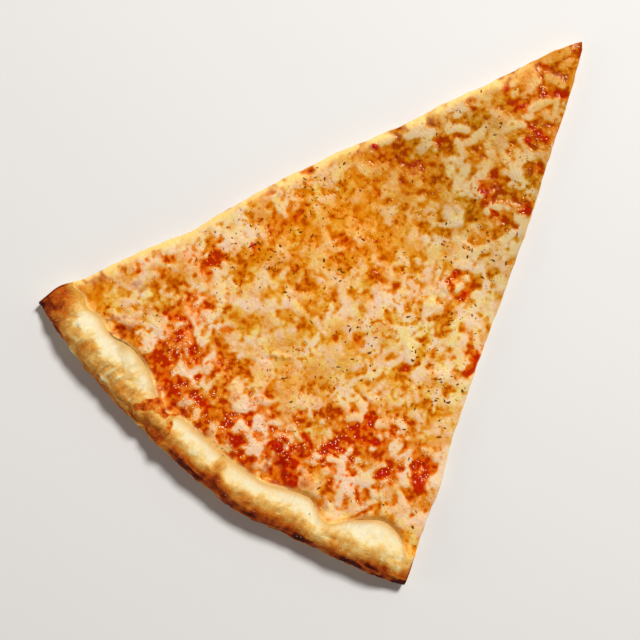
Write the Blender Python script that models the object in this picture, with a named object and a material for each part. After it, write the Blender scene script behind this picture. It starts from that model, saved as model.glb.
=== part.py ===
"""A slice of cheese pizza: rimmed dough, a thin layer of sauce and a layer of melted cheese.

Metres, +Z up. The slice lies flat, with its tip towards -Y and its crust towards +Y. The origin is
the bottom centre of its bounding box. Each layer is one strip of cells, spun about the tip through
the angle of the cut, whose corners are then moved to the layer's own section.
"""

import math

import bmesh
import bpy
from mathutils import Matrix, Vector

# The pie and the cut
PIE_RADIUS = 0.2286  # half of an 18 inch pie
CUT_ANGLE = math.radians(46.2)  # an eighth of the pie, cut a little wide by hand
HALF_ANGLE = CUT_ANGLE / 2
LONG_SIDE_EXTRA = 0.0078  # how far the pie draws out to the corner at +X
LONG_SIDE_CURVE = 1.6  # 1 draws out evenly, more only near the corner
SHORT_SIDE_LOSS = 0.0044  # how far it flattens towards the corner at -X
FLAT_FROM = 0.10  # shares of the half angle between which it flattens
FLAT_TO = 0.60
TIP_RADIUS = 0.0025
TIP_NOSE = 0.0022  # how far the blunt tip rounds out past its corners
TIP_NOSE_LENGTH = 0.005

# The layers
BASE_THICK = 0.0034
SAUCE_THICK = 0.0009
CHEESE_THICK = 0.0024
EDGE_THICK = 0.0010  # of the cheese where it ends on the rim
GAP = 0.0003  # kept between layers that touch
SLOPE_GAP = 0.0006  # the same on the rim's slope, measured upwards
SAUCE_SHORT = 0.0030  # how far the sauce stops before the rim's foot
CHEESE_FALL = 0.0012  # length over which the cheese comes down past the end of the sauce
CHEESE_CLIMB = 0.0018  # how far the cheese runs up the rim
SWELL_RISE = 0.00045  # of each of the cheese's two trains of low swells, across and along it
SWELL_LENGTHS = (0.0095, 0.0115)
SWELL_BENDS = (2.0, 1.6)  # how far each train's crests wander from straight
SWELL_BEND_LENGTHS = (0.017, 0.015)

# The rim
RIM_WIDTH = 0.0178
RIM_HEIGHT = 0.0150
RIM_CREST = 0.58  # place of the highest line, as a share of the width
RIM_BELLY = 0.40  # height of the furthest point, as a share of the height
RIM_LIFT = 0.70  # share of the width where the underside leaves the table
SLOPE_FULLNESS = 1.15  # 1 is a round inner slope, more is a hollow one
NOSE_TURN = math.radians(80)  # how far the outer round is turned before its blunt nose
END_PINCH = 0.30  # height lost where the cutter pressed the rim's ends
END_PINCH_WIDTH = math.radians(2.4)

# Hills and hollows along the arc, as (angle in degrees, width in degrees, rise)
RIM_WIDTH_HILLS = (
    (22.0, 3.0, 0.0012),
    (13.8, 3.6, 0.0030),
    (7.5, 2.6, -0.0022),
    (0.0, 4.0, -0.0018),
    (-8.8, 2.4, 0.0008),
    (-12.8, 1.9, -0.0036),
    (-18.8, 2.4, 0.0046),
)
RIM_HEIGHT_HILLS = (
    (16.5, 4.0, 0.0012),
    (8.0, 2.2, -0.0008),
    (1.0, 5.0, 0.0005),
    (-10.5, 3.0, -0.0010),
    (-17.5, 2.5, 0.0006),
)
CHEESE_EDGE_HILLS = (
    (22.8, 1.2, 0.0022),
    (20.3, 0.9, 0.0018),
    (16.8, 1.2, 0.0014),
    (9.0, 1.3, 0.0010),
    (7.0, 1.2, 0.0040),
    (3.6, 1.4, 0.0006),
    (-5.5, 1.8, 0.0010),
    (-10.6, 1.3, -0.0010),
    (-13.4, 1.4, 0.0014),
    (-22.6, 1.0, 0.0058),
)

# Bows of the two cuts away from straight, as (distance from the tip, width, bow outwards)
LONG_CUT_BOWS = (
    (0.018, 0.020, 0.0010),
    (0.060, 0.024, 0.0008),
    (0.104, 0.016, 0.0017),
    (0.134, 0.020, 0.0015),
    (0.172, 0.010, -0.0012),
    (0.199, 0.011, 0.0004),
    (0.225, 0.007, 0.0020),
)
SHORT_CUT_BOWS = (
    (0.030, 0.034, 0.0016),
    (0.084, 0.034, 0.0016),
    (0.152, 0.020, -0.0004),
    (0.184, 0.009, 0.0009),
)

# Fineness of the strips
ARC_STEPS = 60
BASE_CELLS = 30
SLOPE_CELLS = 6
ROUND_CELLS = 6
CLIMB_CELLS = 5


def hill(place, centre, width):
    """A smooth hill, 1 high at its centre and nearly gone two widths away."""
    return math.exp(-(((place - centre) / width) ** 2))


def hills_over_arc(angle, hills):
    turn = math.degrees(angle)
    return sum(rise * hill(turn, centre, width) for centre, width, rise in hills)


def eased(share):
    """A share from 0 to 1 that starts and ends level."""
    share = min(max(share, 0.0), 1.0)
    return share * share * (3 - 2 * share)


def outer_radius(angle):
    """The pie isn't quite round: it draws out to one corner of the slice and flattens to the other."""
    side = angle / HALF_ANGLE
    if side > 0:
        return PIE_RADIUS + LONG_SIDE_EXTRA * side**LONG_SIDE_CURVE
    return PIE_RADIUS - SHORT_SIDE_LOSS * eased((-side - FLAT_FROM) / (FLAT_TO - FLAT_FROM))


def rim_width(angle):
    return RIM_WIDTH + hills_over_arc(angle, RIM_WIDTH_HILLS)


def rim_foot(angle):
    """Radius where the rim's inner slope starts."""
    return outer_radius(angle) - rim_width(angle)


def rim_height(angle):
    pressed = hill(abs(angle), HALF_ANGLE, END_PINCH_WIDTH)
    full = RIM_HEIGHT + hills_over_arc(angle, RIM_HEIGHT_HILLS)
    return full * (1 - END_PINCH * pressed)


def cheese_edge(angle):
    return rim_foot(angle) + CHEESE_CLIMB + hills_over_arc(angle, CHEESE_EDGE_HILLS)


def inner_slope(climb, height):
    """Height of the rim's inner slope, from its foot at climb 0 to its crest at climb 1."""
    return BASE_THICK + (height - BASE_THICK) * math.sin(climb * math.pi / 2) ** SLOPE_FULLNESS


def dough_top(radius, angle):
    """Height of the dough's upper face, up to the rim's crest."""
    climb = (radius - rim_foot(angle)) / (RIM_CREST * rim_width(angle))
    if climb <= 0:
        return BASE_THICK
    return inner_slope(min(climb, 1), rim_height(angle))


def rim_underside(out, angle):
    """Height of the rim's underside at a distance out from its foot: flat, then a quarter round."""
    width = rim_width(angle)
    lift = max(0.0, (out - RIM_LIFT * width) / (width - RIM_LIFT * width))
    return RIM_BELLY * rim_height(angle) * (1 - math.sqrt(1 - lift * lift))


def dough_point(cell, upper, angle):
    """Radius and height of a corner of the dough's strip."""
    if cell <= BASE_CELLS:
        share = cell / BASE_CELLS
        return TIP_RADIUS + share * (rim_foot(angle) - TIP_RADIUS), upper * BASE_THICK
    height = rim_height(angle)
    crest = RIM_CREST * rim_width(angle)
    step = cell - BASE_CELLS
    if step <= SLOPE_CELLS:
        out = crest * step / SLOPE_CELLS
        top = inner_slope(step / SLOPE_CELLS, height)
    else:
        turn = NOSE_TURN * (step - SLOPE_CELLS) / ROUND_CELLS
        belly = RIM_BELLY * height
        out = crest + (rim_width(angle) - crest) * math.sin(turn)
        top = belly + (height - belly) * math.cos(turn)
    return rim_foot(angle) + out, top if upper else rim_underside(out, angle)


def sauce_point(cell, upper, angle):
    """Radius and height of a corner of the sauce's strip."""
    end = rim_foot(angle) - SAUCE_SHORT
    radius = TIP_RADIUS + cell / BASE_CELLS * (end - TIP_RADIUS)
    return radius, BASE_THICK + GAP + upper * SAUCE_THICK


def cheese_swell(radius, angle):
    """Low, uneven swells of the cheese's upper face."""
    across = radius * math.sin(angle)
    along = radius * math.cos(angle)
    swell = 0.0
    for here, there, train in ((across, along, 0), (along, across, 1)):
        bend = SWELL_BENDS[train] * math.sin(there / SWELL_BEND_LENGTHS[train])
        swell += math.sin(here / SWELL_LENGTHS[train] + bend)
    return SWELL_RISE * swell


def cheese_point(cell, upper, angle):
    """Radius and height of a corner of the cheese's strip."""
    sauce_end = rim_foot(angle) - SAUCE_SHORT
    if cell <= BASE_CELLS:
        radius = TIP_RADIUS + cell / BASE_CELLS * (sauce_end - TIP_RADIUS)
        under = BASE_THICK + 2 * GAP + SAUCE_THICK
        thick = CHEESE_THICK + cheese_swell(radius, angle)
        return radius, under + upper * thick
    landed = sauce_end + CHEESE_FALL
    share = (cell - BASE_CELLS - 1) / CLIMB_CELLS
    radius = landed + share * (cheese_edge(angle) - landed)
    under = dough_top(radius, angle) + (SLOPE_GAP if share > 0 else GAP)
    full = CHEESE_THICK + SAUCE_THICK + GAP + cheese_swell(radius, angle)
    thick = EDGE_THICK + (full - EDGE_THICK) * (1 - eased(share))
    return radius, under + upper * thick


def placed(radius, height, angle):
    """The point in space, with the bows of the cuts and the rounded tip worked in."""
    side = angle / HALF_ANGLE
    bows = LONG_CUT_BOWS if side > 0 else SHORT_CUT_BOWS
    bow = side * sum(rise * hill(radius, centre, width) for centre, width, rise in bows)
    outward = Vector((math.sin(angle), math.cos(angle), 0))
    sideways = Vector((math.cos(angle), -math.sin(angle), 0))
    nose = TIP_NOSE * (1 - side * side) * hill(radius, TIP_RADIUS, TIP_NOSE_LENGTH)
    return radius * outward + bow * sideways + Vector((0, -nose, height))


def spun_layer(cells, point):
    """One closed layer: a strip of cells, spun through the cut's angle and moved to its section."""
    bm = bmesh.new()
    # The strip's corners stand at radius 1, 2, 3 and so on, its lower ones at height 0, its upper at 1.
    to_strip = Matrix.Translation((0, 1 + cells / 2, 0.5)) @ Matrix.Rotation(math.pi / 2, 4, "Y")
    to_strip = to_strip @ Matrix.Diagonal((0.5, cells / 2, 1, 1))
    bmesh.ops.create_grid(bm, x_segments=1, y_segments=cells, size=1, matrix=to_strip)
    turned = Matrix.Rotation(-HALF_ANGLE, 4, "Z")
    bmesh.ops.transform(bm, matrix=turned, verts=bm.verts)
    bmesh.ops.spin(
        bm,
        geom=bm.verts[:] + bm.edges[:] + bm.faces[:],
        cent=(0, 0, 0),
        axis=(0, 0, 1),
        angle=CUT_ANGLE,
        steps=ARC_STEPS,
    )
    for vert in bm.verts:
        cell = round(vert.co.xy.length) - 1
        angle = math.atan2(vert.co.x, vert.co.y)
        radius, height = point(cell, vert.co.z > 0.5, angle)
        vert.co = placed(radius, height, angle)
    bmesh.ops.recalc_face_normals(bm, faces=bm.faces)
    return bm


def baked_colour(red, green, blue):
    """A screen colour from 0 to 255, as the linear values that a shader takes."""
    linear = [((value / 255 + 0.055) / 1.055) ** 2.4 for value in (red, green, blue)]
    return (*linear, 1)


def food_material(name, colour, roughness):
    material = bpy.data.materials.new(name)
    material.use_nodes = True
    shader = material.node_tree.nodes["Principled BSDF"]
    shader.inputs["Base Color"].default_value = colour
    shader.inputs["Roughness"].default_value = roughness
    shader.inputs["Metallic"].default_value = 0
    return material


def layer_object(name, bm, material, parent):
    mesh = bpy.data.meshes.new(name)
    bm.to_mesh(mesh)
    bm.free()
    mesh.materials.append(material)
    mesh.shade_smooth()
    mesh.set_sharp_from_angle(angle=math.radians(40))
    layer = bpy.data.objects.new(name, mesh)
    bpy.context.scene.collection.objects.link(layer)
    layer.parent = parent
    return layer


def move_to_origin(layers):
    """Moves every layer together, so that the slice's bottom centre is the origin."""
    corners = [vert.co for layer in layers for vert in layer.data.vertices]
    low = Vector([min(corner[axis] for corner in corners) for axis in range(3)])
    high = Vector([max(corner[axis] for corner in corners) for axis in range(3)])
    middle = (low + high) / 2
    for layer in layers:
        layer.data.transform(Matrix.Translation((-middle.x, -middle.y, -low.z)))


def main():
    for leftover in list(bpy.data.objects):
        bpy.data.objects.remove(leftover)
    pizza_slice = bpy.data.objects.new("pizza_slice", None)
    bpy.context.scene.collection.objects.link(pizza_slice)
    crust = food_material("baked_dough", baked_colour(206, 158, 98), 0.7)
    tomato = food_material("tomato_sauce", baked_colour(190, 72, 30), 0.35)
    melted = food_material("melted_cheese", baked_colour(233, 180, 108), 0.35)
    dough_cells = BASE_CELLS + SLOPE_CELLS + ROUND_CELLS
    cheese_cells = BASE_CELLS + 1 + CLIMB_CELLS
    layers = [
        layer_object("dough", spun_layer(dough_cells, dough_point), crust, pizza_slice),
        layer_object("sauce", spun_layer(BASE_CELLS, sauce_point), tomato, pizza_slice),
        layer_object("cheese", spun_layer(cheese_cells, cheese_point), melted, pizza_slice),
    ]
    move_to_origin(layers)


main()
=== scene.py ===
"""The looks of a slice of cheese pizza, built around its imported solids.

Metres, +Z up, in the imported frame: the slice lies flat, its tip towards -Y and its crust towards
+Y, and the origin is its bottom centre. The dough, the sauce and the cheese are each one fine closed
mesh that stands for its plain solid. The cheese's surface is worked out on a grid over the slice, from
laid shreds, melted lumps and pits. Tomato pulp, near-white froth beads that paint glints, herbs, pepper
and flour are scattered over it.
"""

import math

import bmesh
import bpy
import numpy as np
from mathutils import Euler, Matrix, Vector


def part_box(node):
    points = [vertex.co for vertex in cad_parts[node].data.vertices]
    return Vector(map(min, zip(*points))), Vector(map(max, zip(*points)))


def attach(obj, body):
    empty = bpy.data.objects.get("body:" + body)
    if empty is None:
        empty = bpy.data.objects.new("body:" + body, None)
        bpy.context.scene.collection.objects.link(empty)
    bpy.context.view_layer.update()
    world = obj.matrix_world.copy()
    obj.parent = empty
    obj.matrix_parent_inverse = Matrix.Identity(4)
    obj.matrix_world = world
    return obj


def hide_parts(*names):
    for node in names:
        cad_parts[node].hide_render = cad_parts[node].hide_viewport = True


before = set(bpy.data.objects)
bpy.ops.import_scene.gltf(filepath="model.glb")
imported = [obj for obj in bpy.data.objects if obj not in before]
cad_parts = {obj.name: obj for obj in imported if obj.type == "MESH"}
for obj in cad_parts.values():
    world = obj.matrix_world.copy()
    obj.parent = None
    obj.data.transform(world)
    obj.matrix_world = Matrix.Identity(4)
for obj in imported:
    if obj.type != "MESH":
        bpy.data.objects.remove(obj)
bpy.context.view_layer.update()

MM = 0.001

# The pie and the cut, as the solids have them
PIE_RADIUS = 228.6 * MM
CUT_ANGLE = math.radians(46.2)
HALF_ANGLE = CUT_ANGLE / 2
LONG_SIDE_EXTRA = 7.8 * MM
LONG_SIDE_CURVE = 1.6
SHORT_SIDE_LOSS = 4.4 * MM
FLAT_FROM = 0.10
FLAT_TO = 0.60
TIP_RADIUS = 2.5 * MM
TIP_NOSE = 2.2 * MM
TIP_NOSE_LENGTH = 5 * MM

# The layers
BASE_THICK = 3.4 * MM
SAUCE_THICK = 0.9 * MM
CHEESE_THICK = 2.4 * MM
EDGE_THICK = 1.0 * MM
GAP = 0.3 * MM
SAUCE_SHORT = 3.0 * MM
CHEESE_CLIMB = 1.8 * MM
LIP_WIDTH = 3.2 * MM
LIP_ROUND = 0.2 * MM
LIP_THICK = 0.03 * MM

# The rim
RIM_WIDTH = 17.8 * MM
RIM_HEIGHT = 15.0 * MM
RIM_CREST = 0.58
RIM_BELLY = 0.40
RIM_LIFT = 0.70
SLOPE_FULLNESS = 1.15
NOSE_TURN = math.radians(80)
END_PINCH = 0.30
END_PINCH_WIDTH = math.radians(2.4)

# Hills and hollows along the arc, as (angle in degrees, width in degrees, rise in mm)
RIM_WIDTH_HILLS = (
    (22.0, 3.0, 1.2),
    (13.8, 3.6, 3.0),
    (7.5, 2.6, -1.2),
    (0.0, 4.0, -1.8),
    (-8.8, 2.4, 0.8),
    (-12.8, 1.9, -1.6),
    (-18.8, 2.4, 3.4),
)
RIM_HEIGHT_HILLS = (
    (16.5, 4.0, 1.2),
    (8.0, 2.2, -0.8),
    (1.0, 5.0, 0.5),
    (-10.5, 3.0, -1.0),
    (-17.5, 2.5, 0.6),
)
CHEESE_EDGE_HILLS = (
    (7.5, 2.6, 1.0),
    (-12.8, 1.9, 2.0),
    (-18.8, 2.4, -1.2),
    (22.8, 1.2, 2.2),
    (20.3, 0.9, 1.8),
    (16.8, 1.2, 1.4),
    (9.0, 1.3, 1.0),
    (7.0, 1.2, 1.8),
    (3.6, 1.4, 0.6),
    (-5.5, 1.8, 1.0),
    (-10.6, 1.3, -1.0),
    (-13.4, 1.4, 1.4),
    (-22.6, 1.0, 5.8),
)

# Bows of the two cuts, as (distance from the tip, width, bow outwards) in mm
LONG_CUT_BOWS = (
    (18, 20, 1.0),
    (60, 24, 0.8),
    (104, 16, 1.7),
    (134, 20, 1.5),
    (172, 10, -1.2),
    (199, 11, 0.4),
    (225, 7, 2.0),
)
SHORT_CUT_BOWS = (
    (30, 34, 1.6),
    (84, 34, 1.6),
    (152, 20, -0.4),
    (184, 9, 0.9),
)

# How far the cheese's edge, the crust and the cuts change the cheese beside them
EDGE_REACH = 2.2 * MM
CRUST_REACH = 6 * MM
CUT_REACH = 1.6 * MM
CUT_DROP = 0.75 * MM

# Distances over which the curds are evened out, and the cover that the contrast turns about
FINE_SPREAD = 9 * MM
BROAD_SPREAD = 11 * MM
MIDDLE_COVER = 0.58

# Shreds of cheese, as (seed, count, lengths, half widths in mm)
NARROW_SHREDS = (21, 1100, (2, 10), (0.9, 1.9))
BROAD_SHREDS = (22, 480, (3, 11), (1.5, 2.7))

# Bubbles, as (seed, count, smallest and largest radius in mm)
CHEESE_BUBBLES = (41, 2600, 0.5, 1.3)
CRUST_BLISTERS = (75, 220, 0.8, 2.4)

# How far the rim's slope and its outer round go round its skin, and the whole way back under it
SLOPE_ROUND = 15 * MM
NOSE_ROUND = 12 * MM
WHOLE_ROUND = 62 * MM

# Fineness of the fields and of the meshes
FIELD_STEP = 0.3 * MM
FIELD_X = 96 * MM
FIELD_Y = 120 * MM
CHEESE_ROWS = 416
CHEESE_RINGS = 7
SAUCE_ROWS = 240
SAUCE_RINGS = 4
DOUGH_LEVELS = 14
DOUGH_BASE_CELLS = 330
DOUGH_SLOPE_CELLS = 26
DOUGH_ROUND_CELLS = 24
DOUGH_ARC_STEPS = 38
DOUGH_ARC_CUTS = 9

# Kinds of surface over the cheese, as (x, y, reach in mm, then cream, red, gold, froth).
# Cream is how far the melted cheese covers, 0 being half. Red is how much tomato shows between.
# Gold is how oily and golden it baked. Froth is how bubbly.
ZONES = (
    (-3, -112, 5, -0.6, 0.2, 1.0, 0.1),
    (-2, -102, 5, 0.0, 0.2, 0.9, 0.1),
    (-8, -91, 5, -0.4, 0.5, 0.9, 0.2),
    (5, -89, 5, -0.3, 0.2, 1.0, 0.1),
    (0, -78, 6, 0.3, 0.5, 0.3, 0.2),
    (14, -69, 5, -0.2, 0.3, 0.8, 0.1),
    (-14, -73, 5, -0.1, 0.6, 0.2, 0.2),
    (3, -64, 7, 0.4, 0.1, 0.5, 0.1),
    (-18, -60, 7, 0.1, 0.3, 0.3, 0.1),
    (15, -49, 8, 0.1, 0.6, 0.2, 0.2),
    (-14, -46, 8, -1.5, 0.7, 0.3, 0.2),
    (3, -50, 6, 0.5, 0.1, 0.5, 0.1),
    (-26, -46, 6, -1.0, 0.5, 0.2, 0.2),
    (16, -32, 8, -1.1, 0.5, 0.6, 0.1),
    (33, -31, 5, 0.0, 0.8, 0.2, 0.2),
    (0, -33, 8, 0.2, 0.2, 0.6, 0.1),
    (-16, -29, 8, 1.2, 0.1, 0.4, 0.1),
    (-32, -28, 8, 0.6, 0.2, 0.1, 0.1),
    (30, -18, 9, 0.1, 0.3, 0.6, 0.1),
    (12, -15, 9, -0.1, 0.2, 0.7, 0.1),
    (-10, -13, 9, 0.5, 0.2, 0.4, 0.1),
    (-30, -6, 8, -0.4, 0.6, 0.0, 0.4),
    (-44, -6, 7, 0.9, 0.1, 0.0, 0.1),
    (24, 2, 12, 0.2, 0.3, 1.0, 0.1),
    (45, 2, 7, 0.4, 0.5, 0.3, 0.3),
    (3, 10, 8, -0.7, 0.3, 0.7, 0.1),
    (-16, 8, 9, 0.4, 0.1, 0.3, 0.1),
    (-40, 12, 10, -0.1, 0.3, 0.0, 0.1),
    (-54, 9, 5, 0.2, 0.6, 0.2, 0.3),
    (38, 17, 9, -0.7, 0.5, 0.5, 0.2),
    (18, 22, 9, 0.7, 0.3, 0.6, 0.1),
    (-5, 25, 9, 0.7, 0.2, 0.3, 0.1),
    (-14, 26, 8, 3.6, 0.1, 0.2, 0.1),
    (-28, 27, 10, 0.6, 0.3, 0.1, 0.1),
    (-50, 28, 9, 0.8, 0.2, 0.1, 0.1),
    (54, 33, 7, 1.5, 0.4, 0.1, 0.2),
    (32, 36, 9, -0.2, 0.3, 0.4, 0.1),
    (11, 41, 9, -0.7, 0.2, 0.4, 0.1),
    (-15, 43, 9, 0.7, 0.1, 0.3, 0.1),
    (-38, 38, 8, -0.1, 0.2, 0.4, 0.1),
    (-56, 44, 7, 0.7, 0.3, 0.4, 0.2),
    (-56, 55, 6, -2.8, 0.6, 0.2, 0.3),
    (52, 46, 8, 1.2, 0.4, 0.3, 0.2),
    (28, 54, 8, 1.5, 0.3, 0.2, 0.2),
    (-2, 56, 9, 3.8, 0.2, 0.4, 0.2),
    (-24, 56, 8, -0.4, 0.5, 0.1, 0.3),
    (-40, 58, 8, 0.1, 0.7, 0.1, 0.4),
    (-66, 60, 7, 0.5, 0.6, 0.0, 0.7),
    (66, 62, 8, 0.8, 0.5, 0.1, 0.2),
    (45, 66, 9, -0.1, 0.6, 0.1, 0.3),
    (25, 70, 8, -0.8, 0.6, 0.4, 0.3),
    (-4, 71, 8, 0.7, 0.5, 0.3, 0.5),
    (-29, 69, 8, -1.5, 0.8, 0.1, 0.6),
    (-52, 72, 8, 0.1, 0.6, 0.2, 0.6),
    (-72, 78, 7, 1.1, 0.4, 0.6, 0.3),
    (74, 77, 6, 0.1, 0.4, 0.6, 0.3),
    (58, 80, 6, 1.3, 0.5, 0.3, 0.5),
    (36, 82, 9, -1.9, 0.8, 0.2, 0.7),
    (18, 84, 8, -0.5, 0.9, 0.2, 0.9),
    (0, 89, 8, -0.8, 0.9, 0.2, 0.9),
    (-22, 85, 8, 0.1, 1.0, 0.2, 0.8),
    (-28, 95, 5, -3.2, 0.9, 0.3, 0.8),
    (-36, 82, 7, 0.8, 0.6, 0.5, 0.5),
    (82, 92, 6, 0.1, 0.1, 1.0, 0.3),
    (12, 97, 6, -0.6, 0.6, 0.7, 0.5),
)

# Single marks, as (x, y, half length, half width in mm, heading in degrees, cream, red, rise in mm)
MARKS = (
    (-4, -110, 4, 2.0, 90, -1.2, 0.3, -0.1),
    (2, -97, 3.0, 1.1, 0, -1.7, 0.6, -0.1),
    (-9, -92, 4.2, 1.7, 35, -2.2, 0.9, -0.1),
    (8, -81, 2.2, 2.2, 0, -2.3, 0.9, -0.1),
    (-1, -79, 4.5, 2.2, 10, -1.6, 0.7, 0.1),
    (-14, -76, 4.5, 2.0, 10, -2.2, 0.8, 0.0),
    (-12, -71, 2.0, 2.3, 0, -2.4, 0.9, 0.1),
    (15, -70, 2.6, 5.0, 0, -1.3, 0.3, -0.1),
    (12, -66, 2.6, 1.8, 0, -1.6, 0.4, 0.0),
    (-22, -66, 2.6, 2.6, 0, -2.0, 0.6, 0.0),
    (-8, -66, 1.2, 3.0, 0, -1.5, 0.2, -0.2),
    (3, -70, 5.0, 2.4, 10, 1.2, 0.0, 0.2),
    (-17, -58, 3.2, 2.0, 30, 1.2, 0.0, 0.2),
    (14, -48, 2.2, 1.8, 0, -2.3, 0.5, -0.2),
    (-29, -50, 3.0, 3.4, 0, -1.2, 0.8, 0.2),
    (-12, -45, 5.0, 2.6, 155, -1.9, 0.5, 0.0),
    (-20, -41, 3.4, 1.3, 0, -1.7, 0.4, -0.1),
    (24, -47, 2.6, 4.0, 70, -0.8, 0.6, 0.0),
    (-31, -43, 1.6, 2.4, 0, -1.7, 0.3, -0.2),
    (14, -35, 4.4, 2.6, 60, -2.2, 0.5, -0.2),
    (21, -38, 2.4, 1.6, 0, -1.4, 0.3, 0.0),
    (32, -30, 2.8, 1.8, 10, -2.4, 1.0, 0.1),
    (-1, -31, 1.8, 1.2, 0, -1.6, 0.3, 0.0),
    (-38, -31, 1.4, 2.2, 0, -2.0, 0.4, -0.1),
    (19, -17, 2.8, 1.6, 30, -1.6, 0.4, -0.1),
    (-27, -8, 3.6, 2.6, 25, 1.6, 0.1, 0.9),
    (-25, -13, 1.5, 2.0, 0, -1.8, 0.6, -0.3),
    (-33, -10, 1.8, 3.0, 20, -2.0, 0.7, -0.3),
    (-52, 4, 1.6, 3.4, 10, -2.2, 0.5, -0.1),
    (-54, 13, 1.8, 1.8, 0, -2.3, 0.7, 0.0),
    (-2, 10.5, 2.4, 2.8, 0, -0.9, 0.0, 0.5),
    (-7, 16, 1.6, 2.4, 20, -1.5, 0.2, -0.2),
    (51, 10, 1.6, 3.0, 160, -1.8, 0.6, 0.0),
    (36, 12, 3.0, 3.0, 0, -1.5, 0.3, 0.0),
    (42, 30.5, 2.7, 1.2, 0, -2.8, 1.0, -0.1),
    (-35, 27, 1.6, 1.6, 0, -2.6, 0.7, -0.3),
    (-38, 15, 2.4, 1.6, 150, -1.6, 0.4, -0.1),
    (-31, 16, 1.6, 1.4, 0, -1.4, 0.3, -0.1),
    (-26, 2, 5.0, 2.2, 20, 1.0, 0.0, 0.3),
    (-46, 22, 6.0, 2.2, 35, 1.2, 0.0, 0.4),
    (-32, 22, 5.0, 1.8, 140, 1.4, 0.0, 0.4),
    (49, 45, 2.6, 3.4, 100, -1.7, 0.4, -0.1),
    (50, 51, 1.8, 1.8, 0, -2.0, 0.6, -0.1),
    (-14, 32, 3.6, 1.4, 170, -1.8, 0.5, -0.1),
    (-6, 37, 1.8, 1.4, 0, -1.7, 0.4, -0.2),
    (5, 56, 3.4, 1.4, 30, 1.8, 0.0, 0.9),
    (8, 60, 3.0, 1.2, 60, -2.3, 0.4, -0.4),
    (-15, 42, 5.5, 3.0, 20, 1.2, 0.0, 0.2),
    (-30, 45, 6.0, 1.6, 0, 1.3, 0.0, 0.3),
    (-38, 53, 2.4, 3.4, 20, -2.4, 0.9, -0.1),
    (-45, 57, 1.4, 1.4, 0, -3.0, 1.0, 0.1),
    (-38, 60, 4.0, 1.3, 0, -2.2, 0.8, 0.0),
    (-68, 58, 2.8, 2.8, 0, -2.0, 1.0, 0.5),
    (-55, 65, 2.2, 1.6, 25, -2.8, 1.0, 0.1),
    (-24, 74, 3.4, 1.2, 160, -2.6, 1.0, 0.0),
    (-33, 69, 1.9, 1.2, 30, -2.6, 0.9, 0.0),
    (-17, 83, 2.4, 2.2, 0, -2.4, 0.9, 0.2),
    (-23, 85, 4.4, 4.2, 0, -0.4, 0.4, 1.3),
    (-30, 89, 5.0, 1.8, 150, -2.0, 0.6, 0.1),
    (-3, 92, 2.2, 3.2, 0, -2.0, 0.8, 0.3),
    (15, 90, 2.4, 1.6, 20, -2.0, 0.9, 0.0),
    (24, 84, 2.0, 1.6, 0, -2.0, 1.0, 0.0),
    (34, 92, 2.6, 1.8, 120, -1.8, 0.6, 0.1),
    (28, 62, 3.2, 1.4, 30, -1.6, 0.7, -0.1),
    (46, 72, 3.0, 1.4, 20, -1.6, 0.8, 0.0),
    (60, 89, 3.4, 2.0, 10, -1.6, 0.0, 0.3),
    (79, 79, 2.2, 2.4, 0, -1.6, 0.0, 0.1),
    (70, 66, 2.2, 3.0, 10, -1.6, 0.6, 0.0),
    (8, 78, 3.0, 2.4, 0, 1.4, 0.3, 0.4),
    (25, 78, 3.4, 2.2, 40, 1.4, 0.3, 0.4),
    (48, 79, 3.2, 2.4, 20, 1.3, 0.2, 0.4),
    (-48, 80, 3.6, 2.6, 0, 1.3, 0.0, 0.4),
    (-36, 86, 3.2, 2.4, 20, 0.9, 0.0, 0.5),
    (-58, 73, 1.6, 1.4, 0, 2.2, 0.0, 0.4),
    (36, 76, 4.4, 2.0, 150, 1.5, 0.2, 0.5),
)

# Grooves in the crust, as (x, y, x, y of the other end, half width, depth in mm)
GROOVES = (
    (60, 92.5, 54, 93.5, 1.0, 0.7),
    (54, 93.5, 48.5, 96.5, 1.1, 1.6),
    (48.5, 96.5, 44, 100, 1.1, 2.0),
    (44, 100, 39, 99.5, 1.0, 1.6),
    (39, 99.5, 34, 99, 0.8, 0.9),
    (-3.5, 99, -5, 108, 0.5, 0.5),
    (-8.5, 101, -7.5, 108, 0.5, 0.4),
    (24, 102, 19, 109, 0.8, 0.6),
)

# Browned places on the crust and, below 0, pale ones, as (x, y, radius in mm, change of the baking)
SCORCHES = (
    (21, 103, 1.6, 0.3),
    (-5, 103, 3.0, 0.30),
    (-7, 108, 2.4, 0.35),
    (88, 96, 7.0, 0.26),
    (84, 88, 5.0, 0.26),
    (90, 104, 6.0, 0.08),
    (80, 98, 5.0, 0.10),
    (72, 95, 5.0, -0.22),
    (60, 93, 4.5, -0.20),
    (51, 93.5, 4.0, -0.05),
    (44, 96, 3.6, 0.10),
    (-68, 95, 4.0, -0.14),
    (12, 111, 4.0, -0.15),
    (37, 97.5, 3.0, -0.25),
    (-88, 91, 4.0, 0.25),
    (40, 107, 2.5, 0.15),
)

# How baked the crust is, from 0 to 1, at distances in mm round the rim from its inner foot: on the
# lighter half and on the darker half of the arc. The lighter half's paler outer round is partly its own
# browning and partly painted light, standing in for more light falling on that side.
LIGHT_BAKE = ((5, 0.04), (8, 0.10), (11, 0.19), (14, 0.24), (17, 0.27), (20, 0.31), (23, 0.42), (26, 0.54))
DARK_BAKE = (
    (5, 0.02),
    (8, 0.06),
    (11, 0.17),
    (14, 0.36),
    (16, 0.50),
    (18, 0.74),
    (20, 0.92),
    (22, 1.00),
    (24, 0.94),
    (27, 0.80),
)

# The few grains of pepper on the crust, as (x, y) in mm
PEPPER_ON_CRUST = (
    (-35.4, 88.1),
    (-43.5, 91.6),
    (-43.7, 94.6),
    (-61.1, 80.1),
    (-79, 74.5),
    (51, 101.5),
    (34.7, 102.4),
)

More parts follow.
